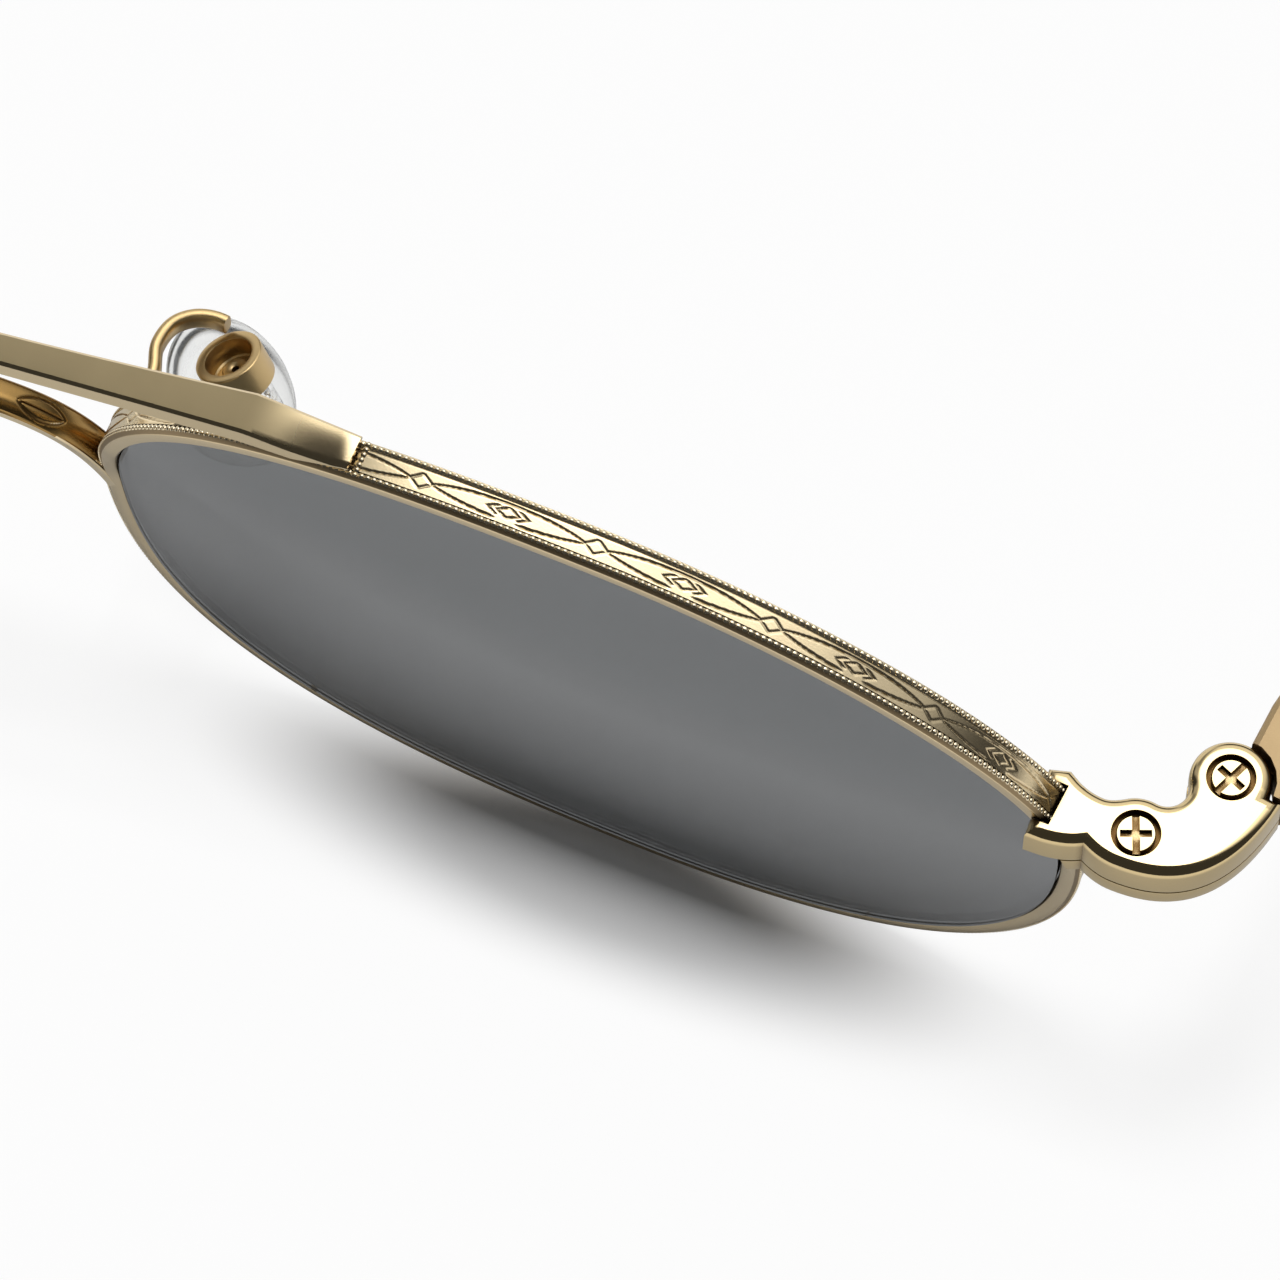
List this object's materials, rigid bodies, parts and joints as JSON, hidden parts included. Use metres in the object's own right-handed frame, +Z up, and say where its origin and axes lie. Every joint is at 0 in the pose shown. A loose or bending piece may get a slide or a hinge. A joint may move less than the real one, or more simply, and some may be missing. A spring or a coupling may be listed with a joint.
{
  "type": "sunglasses",
  "caption": "Metal sunglasses with engraved rims round grey lenses, a brow bar over an arched bridge, swivelling clear nose pads, and temples that fold on screwed hinges.",
  "frame": {"origin": "middle of the footprint, on the table that the glasses stand on", "axes": "+X towards the wearer's left, +Y back along the temples, +Z up"},
  "size_m": [0.149, 0.1458, 0.0444],
  "materials": {
    "gold": "polished pale gold plating, engraved on the rims",
    "lens": "smooth grey tint",
    "pad": "clear, slightly cloudy",
    "tip": "polished tortoiseshell"
  },
  "bodies": {
    "front": {"rim_left": "gold", "lens_left": "lens", "upper_endpiece_left": "gold", "lower_endpiece_left": "gold", "rim_lock_screw_left": "gold", "hinge_screw_left": "gold", "pad_arm_left": "gold", "pad_cup_left": "gold", "pad_eyelet_left": "gold", "rim_right": "gold", "lens_right": "lens", "upper_endpiece_right": "gold", "lower_endpiece_right": "gold", "rim_lock_screw_right": "gold", "hinge_screw_right": "gold", "pad_arm_right": "gold", "pad_cup_right": "gold", "pad_eyelet_right": "gold", "brow_bar": "gold", "bridge": "gold"},
    "left_temple": {"temple_left": "gold", "hinge_leaf_left": "gold", "temple_tip_left": "tip"},
    "left_pad": {"nose_pad_left": "pad"},
    "right_temple": {"temple_right": "gold", "hinge_leaf_right": "gold", "temple_tip_right": "tip"},
    "right_pad": {"nose_pad_right": "pad"}
  },
  "joints": [
    {"name": "left_temple_fold", "type": "hinge", "parent": "front", "child": "left_temple", "pos_m": [0.06647, -0.06437, 0.03153], "axis": [0, 0, 1], "range_deg": [0, 92]},
    {"name": "right_temple_fold", "type": "hinge", "parent": "front", "child": "right_temple", "pos_m": [-0.06647, -0.06437, 0.03153], "axis": [0, 0, -1], "range_deg": [0, 84]},
    {"name": "left_pad_swivel", "type": "hinge", "parent": "front", "child": "left_pad", "pos_m": [0.0139, -0.06131, 0.0276], "axis": [-0.4699, 0.15, 0.8699], "range_deg": [-8, 8]},
    {"name": "right_pad_swivel", "type": "hinge", "parent": "front", "child": "right_pad", "pos_m": [-0.0139, -0.06131, 0.0276], "axis": [0.4699, 0.15, 0.8699], "range_deg": [-8, 8]}
  ]
}
